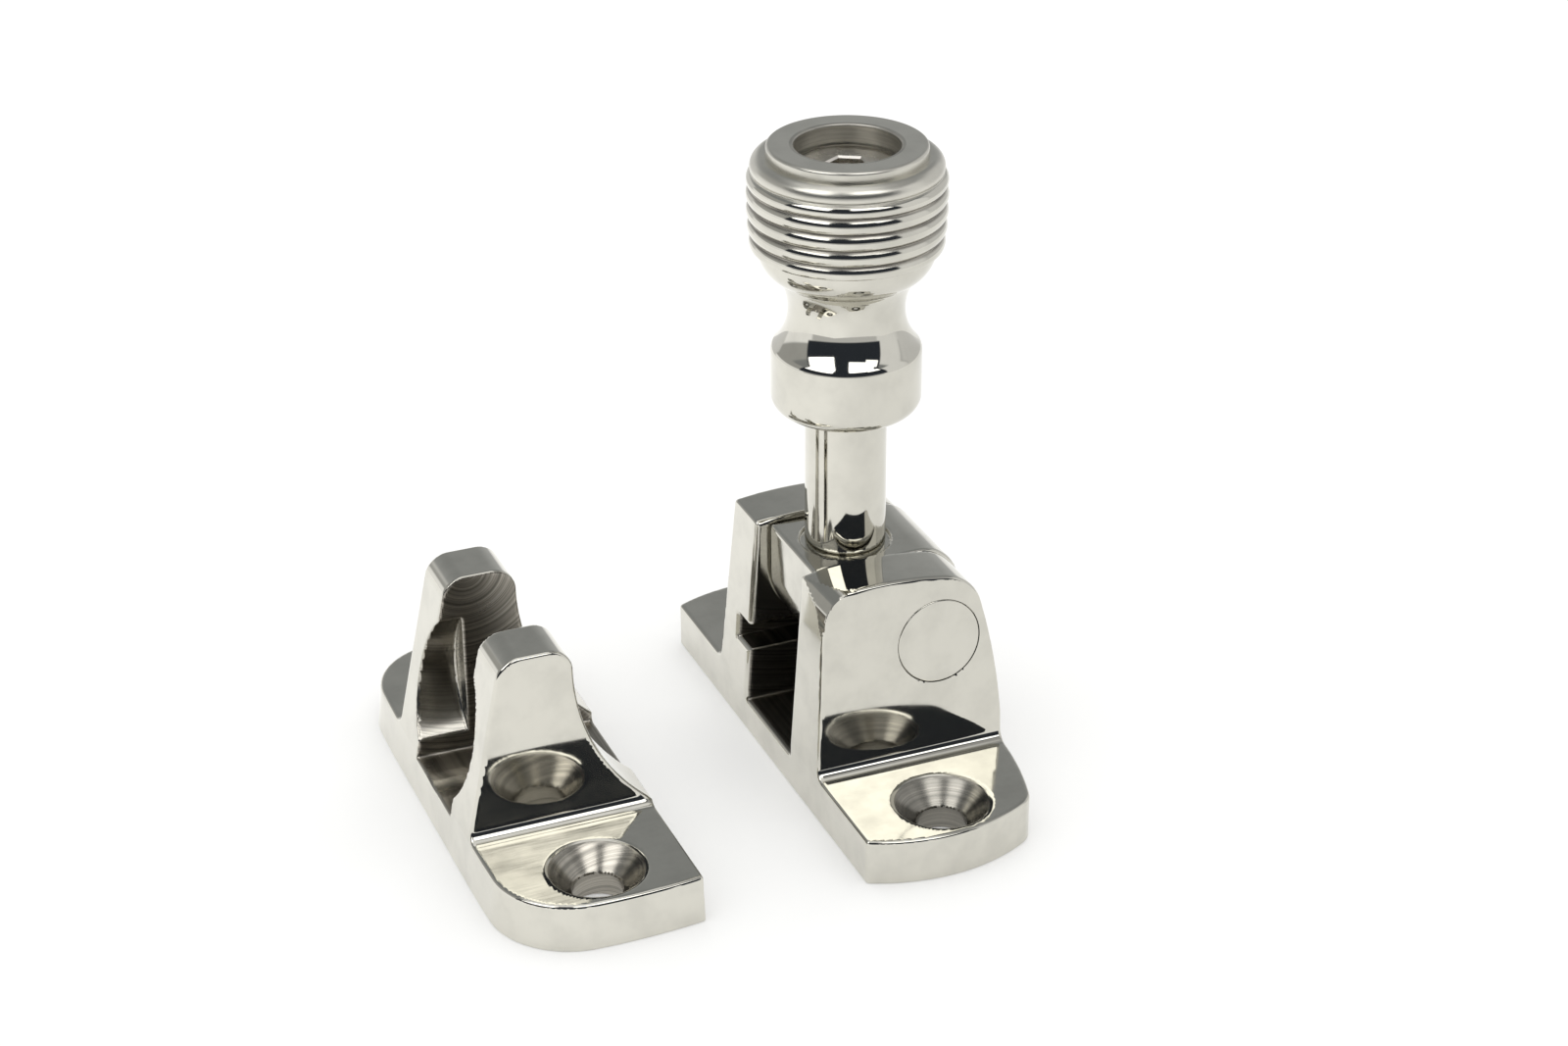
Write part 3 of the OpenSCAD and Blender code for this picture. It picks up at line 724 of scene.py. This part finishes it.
def screw_holes(tree, along, across, spot):
    """The walls of the two countersunk holes, a little inside their mouths."""
    return round_patch(tree, along, across, spot, (HOLE_MOUTH - 0.15, HOLE_MOUTH - 0.05), 0.8)


def keep_milling_and_shade(tree, place):
    """Where the keep is milled, with painted shade: the slot above its floor, the socket's round wall and the
    countersinks.
    """
    parts = node(tree, "SeparateXYZ", {0: place}).outputs
    across = maths(tree, "ABSOLUTE", maths(tree, "SUBTRACT", parts[1], KEEP_SHIFT * MM))
    slot = mapped(tree, across, (KEEP_SLOT_HALF + 0.05) * MM, (KEEP_SLOT_HALF + 0.11) * MM, 0.95, 0)
    above = mapped(tree, parts[2], (KEEP_SLOT_FLOOR - 0.2) * MM, (KEEP_SLOT_FLOOR - 0.1) * MM, 0, 1)
    slot = maths(tree, "MULTIPLY", slot, above)
    wall = round_patch(tree, across, parts[2], (0, SOCKET_HEIGHT),
                       (SOCKET_RADIUS + 0.03, SOCKET_RADIUS + 0.09), 1)
    back = KEEP_LEFT + SOCKET_DEPTH
    wall = maths(tree, "MULTIPLY", wall,
                 mapped(tree, parts[0], (back + 0.02) * MM, (back + 0.1) * MM, 0.55, 0))
    sunk = screw_holes(tree, parts[0], across, (KEEP_LEFT + KEEP_HOLE[0], KEEP_HOLE[1]))
    milled_and_shaded = maths(tree, "MAXIMUM", maths(tree, "MAXIMUM", slot, wall), sunk, clamp=True)
    return milled_and_shaded, ring_marks(tree, place, ((KEEP_LEFT + 6) * MM, 0, 24 * MM), 0.35)


def body_milling_and_shade(tree, place):
    """Where the body is milled, with painted shade: the slot above its floor, darkest low down and fading
    upwards, the keyway and the countersinks.
    """
    parts = node(tree, "SeparateXYZ", {0: place}).outputs
    across = maths(tree, "ABSOLUTE", parts[1])
    slot = maths(tree, "MULTIPLY",
                 mapped(tree, across, (BODY_SLOT_HALF + 0.05) * MM, (BODY_SLOT_HALF + 0.15) * MM, 1, 0),
                 mapped(tree, parts[2], 10 * MM, 20 * MM, 1, 0.3))
    key = maths(tree, "MULTIPLY", between(tree, parts[1], (5.6, 5.7), (8.85, 8.95)),
                between(tree, parts[2], (9.2, 9.3), (11.8, 11.9)))
    above = mapped(tree, parts[2], (BODY_SLOT_FLOOR - 0.2) * MM, (BODY_SLOT_FLOOR - 0.1) * MM, 0, 1)
    slot = maths(tree, "MULTIPLY", maths(tree, "MAXIMUM", slot, key), above)
    sunk = screw_holes(tree, parts[0], across, BODY_HOLE)
    return maths(tree, "MAXIMUM", slot, sunk, clamp=True), ring_marks(tree, place, (0, 0, 40 * MM), 0.3)


def groove_lines_and_shade(tree, place):
    """The dull bottoms of the grooves in the knob's head, and more faintly the wall of its bore, both
    darkened with painted shade.
    """
    parts = node(tree, "SeparateXYZ", {0: place}).outputs
    milled_and_shaded = 0.0
    for groove in GROOVES[:-1]:
        away = maths(tree, "ABSOLUTE", maths(tree, "SUBTRACT", parts[2], (KNOB_BOTTOM + groove) * MM))
        milled_and_shaded = maths(tree, "MAXIMUM", milled_and_shaded, mapped(tree, away, 0.08 * MM, 0.32 * MM, 0.9, 0))
    inside = round_patch(tree, parts[0], parts[1], (SPINDLE_X, 0), (5.4, 5.5), 0.45)
    outside = round_patch(tree, parts[0], parts[1], (SPINDLE_X, 0), (7.0, 7.5), 0, 1)
    milled_and_shaded = maths(tree, "MAXIMUM", maths(tree, "MULTIPLY", milled_and_shaded, outside), inside)
    return milled_and_shaded, noise(tree, stretched(tree, place, (0.05, 0.05, 1)), 4000, 2, 0.6)


# ---------------------------------------------------------------- settings

class FastenerFinish(bpy.types.PropertyGroup):
    metal: bpy.props.FloatVectorProperty(
        name="Metal", description="Colour of the polished nickel", subtype="COLOR", size=4,
        min=0, max=1, default=(0.62, 0.605, 0.545, 1))
    roughness: bpy.props.FloatProperty(
        name="Roughness", description="Roughness of the mirror polish", min=0, max=1, default=0.035)
    wave_height: bpy.props.FloatProperty(
        name="Wave height", description="Height of the buffing waves in millimetres", min=0, default=0.01)
    grain_height: bpy.props.FloatProperty(
        name="Grain height", description="Height of the fine grain in millimetres", min=0, default=0.0002)


class FastenerMesh(bpy.types.PropertyGroup):
    pitch: bpy.props.FloatProperty(
        name="Grid pitch", description="Grid pitch of the cast pieces in millimetres", min=0.1, default=0.25)
    turns: bpy.props.IntProperty(
        name="Turns", description="Number of faces round a turned piece", min=24, default=160)


class FastenerStage(bpy.types.PropertyGroup):
    floor: bpy.props.FloatVectorProperty(
        name="Floor", description="Colour of the floor", subtype="COLOR", size=4, min=0, max=1,
        default=(0.8, 0.8, 0.79, 1))
    lamp: bpy.props.FloatProperty(
        name="Soft lamp", description="Power of the overhead soft lamp", unit="POWER", min=0, default=1.0)


# ---------------------------------------------------------------- operators

def finish_piece(piece, material, body, node_name):
    """Gives a piece its material and body, and puts it in place of its node."""
    piece.data.materials.append(material)
    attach(piece, body)
    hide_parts(node_name)


def cast_piece(context, name, field, node_name):
    """Contours a field over its node's box and writes the mesh."""
    low, high = (np.array(corner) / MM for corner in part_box(node_name))
    return write_mesh(name, *contour(field, low, high, context.scene.fastener_mesh.pitch))


class BuildBody(bpy.types.Operator):
    """Builds the fastener's body with its two cheeks"""
    bl_idname = "fastener.build_body"
    bl_label = "Fastener body"

    def execute(self, context):
        piece = cast_piece(context, "body_casting", fastener_body, "fastener_body")
        # The two dark tones are painted shade for the milled slot, keyway and countersinks.
        material = metal("nickel_casting", milling_and_shade=body_milling_and_shade,
                         shade_tones=((0.04, 0.037, 0.03), (0.2, 0.185, 0.16)), satin=[PLATE_SATIN],
                         uneven=PLATE_SWELL)
        finish_piece(piece, material, "base", "fastener_body")
        return {"FINISHED"}


class BuildKeep(bpy.types.Operator):
    """Builds the keep with its two horns"""
    bl_idname = "fastener.build_keep"
    bl_label = "Keep"

    def execute(self, context):
        piece = cast_piece(context, "keep_casting", keep, "keep")
        material = metal("nickel_keep", milling_and_shade=keep_milling_and_shade, satin=[PLATE_SATIN], uneven=PLATE_SWELL)
        finish_piece(piece, material, "keep", "keep")
        return {"FINISHED"}


class BuildBlock(bpy.types.Operator):
    """Builds the block that swings between the cheeks"""
    bl_idname = "fastener.build_block"
    bl_label = "Swivel block"

    def execute(self, context):
        piece = cast_piece(context, "swivel_nose", swivel_block, "swivel_block")
        material = metal("nickel_block", roughness=0.09, grain=4)
        finish_piece(piece, material, "arm", "swivel_block")
        return {"FINISHED"}


class BuildSpindle(bpy.types.Operator):
    """Builds the spindle with its threaded end"""
    bl_idname = "fastener.build_spindle"
    bl_label = "Spindle"

    def execute(self, context):
        vertices, quads, _, caps = turned(spindle_profile(), 96, closed=False)
        vertices = cut_thread(vertices) + (SPINDLE_X, 0, 0)
        piece = write_mesh("threaded_spindle", vertices, quads, caps=caps)
        finish_piece(piece, metal("nickel_bar"), "arm", "spindle")
        return {"FINISHED"}


class BuildKnob(bpy.types.Operator):
    """Builds the turned knob with its ridged head"""
    bl_idname = "fastener.build_knob"
    bl_label = "Knob"

    def execute(self, context):
        vertices, quads, normals, _ = turned(knob_profile(), context.scene.fastener_mesh.turns)
        piece = write_mesh("ridged_knob", vertices + (SPINDLE_X, 0, KNOB_BOTTOM), quads, normals)
        # The two tones are painted shade for the groove bottoms and the bore.
        material = metal("nickel_turned", wave=0.5, grain_run=(0.05, 0.05, 1), milling_and_shade=groove_lines_and_shade,
                         shade_tones=((0.1, 0.09, 0.08), (0.36, 0.34, 0.3)),
                         satin=[(KNOB_BOTTOM + 16.6, KNOB_BOTTOM + 24, 0.03),
                                (KNOB_BOTTOM + 24.2, KNOB_BOTTOM + 28, 0.25)])
        finish_piece(piece, material, "knob", "knob")
        return {"FINISHED"}


class BuildPivot(bpy.types.Operator):
    """Builds the pivot pin with its riveted ends"""
    bl_idname = "fastener.build_pivot"
    bl_label = "Pivot pin"

    def execute(self, context):
        vertices, quads, _, caps = turned(pivot_profile(), 96, closed=False)
        piece = write_mesh("riveted_pin", lay_across(vertices), quads, caps=caps)
        finish_piece(piece, metal("nickel_pin", roughness=0.06, grain=2), "base", "pivot_pin")
        return {"FINISHED"}


class BuildLock(bpy.types.Operator):
    """Builds the lock screw and the pin in its socket"""
    bl_idname = "fastener.build_lock"
    bl_label = "Lock screw and its pin"

    def execute(self, context):
        steel = (0.76, 0.73, 0.67, 1)
        vertices, quads, _, _ = turned(lock_profile(), 144)
        piece = write_mesh("socket_screw", hexagon(vertices) + (SPINDLE_X, 0, 0), quads)
        finish_piece(piece, metal("turned_steel", steel, 0.22, grain=3), "lock",
                     "lock_screw")
        vertices, quads, _, caps = turned(security_pin_profile(), 32, closed=False)
        piece = write_mesh("socket_pin", vertices + (SPINDLE_X, 0, 0), quads, caps=caps)
        finish_piece(piece, metal("drawn_steel", steel, 0.2), "knob_carrier",
                     "security_pin")
        return {"FINISHED"}


def floor_material(colour):
    """Pale floor that takes shadows and shows white to the camera and in reflections."""
    material = bpy.data.materials.new("pale_floor")
    material.use_nodes = True
    tree = material.node_tree
    tree.nodes.clear()
    seen = node(tree, "LightPath").outputs
    aside = node(tree, "VectorMath", {0: node(tree, "TexCoord").outputs["Object"], 1: STAGE_RIGHT},
                 operation="DOT_PRODUCT").outputs["Value"]
    shine = maths(tree, "MULTIPLY", seen["Is Glossy Ray"], mapped(tree, aside, -60 * MM, 60 * MM, 0.37, 0.18))
    glow = maths(tree, "MULTIPLY_ADD", seen["Is Camera Ray"], 0.21, shine)
    emission = node(tree, "Emission", {"Color": (1, 1, 1, 1), "Strength": glow})
    diffuse = node(tree, "BsdfDiffuse", {"Color": tuple(colour)})
    both = node(tree, "AddShader", {0: diffuse.outputs[0], 1: emission.outputs[0]})
    out = node(tree, "OutputMaterial")
    tree.links.new(both.outputs[0], out.inputs["Surface"])
    return material


def patch(tree, level, turn, rise, box, value, soft):
    """The level with a soft-edged patch of sky set to a value: box has the least and greatest turn and
    rise."""
    (left, right), (low, high) = box
    sides = between(tree, turn, (left - soft, left + soft), (right - soft, right + soft), 1)
    ends = between(tree, rise, (low - soft, low + soft), (high - soft, high + soft), 1)
    return node(tree, "Mix", {"Factor": maths(tree, "MULTIPLY", sides, ends), 6: level, 7: (*value, 1)},
                data_type="RGBA").outputs[2]


def studio_world(scene):
    """White surroundings for the camera and for plain light. Reflections see a soft tent instead, with light
    from overhead, pale and grey walls, and a dark opening in front with bright windows high on each side of a
    dark column. Directions are the turn from the front to the right and the rise above level."""
    world = bpy.data.worlds.new("studio")
    scene.world = world
    world.use_nodes = True
    tree = world.node_tree
    tree.nodes.clear()
    toward = node(tree, "TexCoord").outputs["Generated"]
    dot = lambda axis: node(tree, "VectorMath", {0: toward, 1: axis},
                            operation="DOT_PRODUCT").outputs["Value"]
    degrees = math.degrees(1)
    turn = maths(tree, "MULTIPLY", maths(tree, "ARCTAN2", dot(STAGE_RIGHT), dot(STAGE_FRONT)), degrees)
    rise = maths(tree, "MULTIPLY", maths(tree, "ARCSINE", dot((0, 0, 1))), degrees)
    level = node(tree, "CombineXYZ", {a: mapped(tree, rise, 0, 45, 0.52 + tint, 0.27 + tint)
                                      for a, tint in (("X", 0), ("Y", 0.01), ("Z", 0.015))}).outputs[0]
    for box, value, soft in SKY:
        level = patch(tree, level, turn, rise, box, value, soft)
    seen = node(tree, "LightPath").outputs
    shown = node(tree, "Mix", {"Factor": seen["Is Glossy Ray"], 6: (1, 1, 1, 1), 7: level},
                 data_type="RGBA").outputs[2]
    background = node(tree, "Background", {"Color": shown, "Strength": 1.0})
    out = node(tree, "OutputWorld")
    tree.links.new(background.outputs[0], out.inputs["Surface"])


class BuildStage(bpy.types.Operator):
    """Builds the pale floor, the soft light and the camera"""
    bl_idname = "fastener.build_stage"
    bl_label = "Stage"

    def execute(self, context):
        scene = context.scene
        corners = ((-1, -1), (1, -1), (1, 1), (-1, 1))
        floor = bpy.data.meshes.new("floor")
        floor.from_pydata([(x * FLOOR_HALF, y * FLOOR_HALF, 0) for x, y in corners], [], [(0, 1, 2, 3)])
        floor.materials.append(floor_material(scene.fastener_stage.floor))
        piece = bpy.data.objects.new("floor", floor)
        scene.collection.objects.link(piece)
        studio_world(scene)
        lamp = bpy.data.lights.new("soft_lamp", "AREA")
        lamp.shape, lamp.size, lamp.energy = "DISK", 0.8, scene.fastener_stage.lamp
        holder = bpy.data.objects.new("soft_lamp", lamp)
        holder.location = (0.1, 0.1, 0.9)
        scene.collection.objects.link(holder)
        holder.visible_glossy = False
        camera = bpy.data.cameras.new("camera")
        camera.sensor_width, camera.lens = 36, 71.51
        camera.clip_start, camera.clip_end = 0.01, 20
        viewer = bpy.data.objects.new("camera", camera)
        right, up = Vector((0.92379, -0.38288, -0.00361)), Vector((0.18171, 0.43010, 0.88431))
        back = Vector((-0.33703, -0.81757, 0.46689))
        viewer.matrix_world = Matrix.Translation((-0.11088, -0.24939, 0.16877)) @ Matrix(
            (right, up, back)).transposed().to_4x4()
        scene.collection.objects.link(viewer)
        scene.camera = viewer
        scene.view_settings.view_transform = "Standard"
        return {"FINISHED"}


class FastenerPanel(bpy.types.Panel):
    """Lists the pieces and the stage in the 3D view's sidebar"""
    bl_idname = "VIEW3D_PT_fastener"
    bl_label = "Sash fastener"
    bl_space_type = "VIEW_3D"
    bl_region_type = "UI"
    bl_category = "Fastener"

    def draw(self, context):
        for settings in (context.scene.fastener_finish, context.scene.fastener_mesh,
                         context.scene.fastener_stage):
            for name in settings.__annotations__:
                self.layout.prop(settings, name)
        for operator in OPERATORS:
            self.layout.operator(operator.bl_idname)


SETTINGS = {"fastener_finish": FastenerFinish, "fastener_mesh": FastenerMesh, "fastener_stage": FastenerStage}
OPERATORS = (BuildBody, BuildKeep, BuildBlock, BuildSpindle, BuildKnob, BuildPivot, BuildLock, BuildStage)


def register():
    for made in (*SETTINGS.values(), *OPERATORS, FastenerPanel):
        bpy.utils.register_class(made)
    for name, group in SETTINGS.items():
        setattr(bpy.types.Scene, name, bpy.props.PointerProperty(type=group))


def unregister():
    for name in SETTINGS:
        delattr(bpy.types.Scene, name)
    for made in reversed((*SETTINGS.values(), *OPERATORS, FastenerPanel)):
        bpy.utils.unregister_class(made)


def main():
    """Builds every piece and the stage."""
    register()
    for operator in OPERATORS:
        area, name = operator.bl_idname.split(".")
        getattr(getattr(bpy.ops, area), name)()


if __name__ == "__main__":
    main()
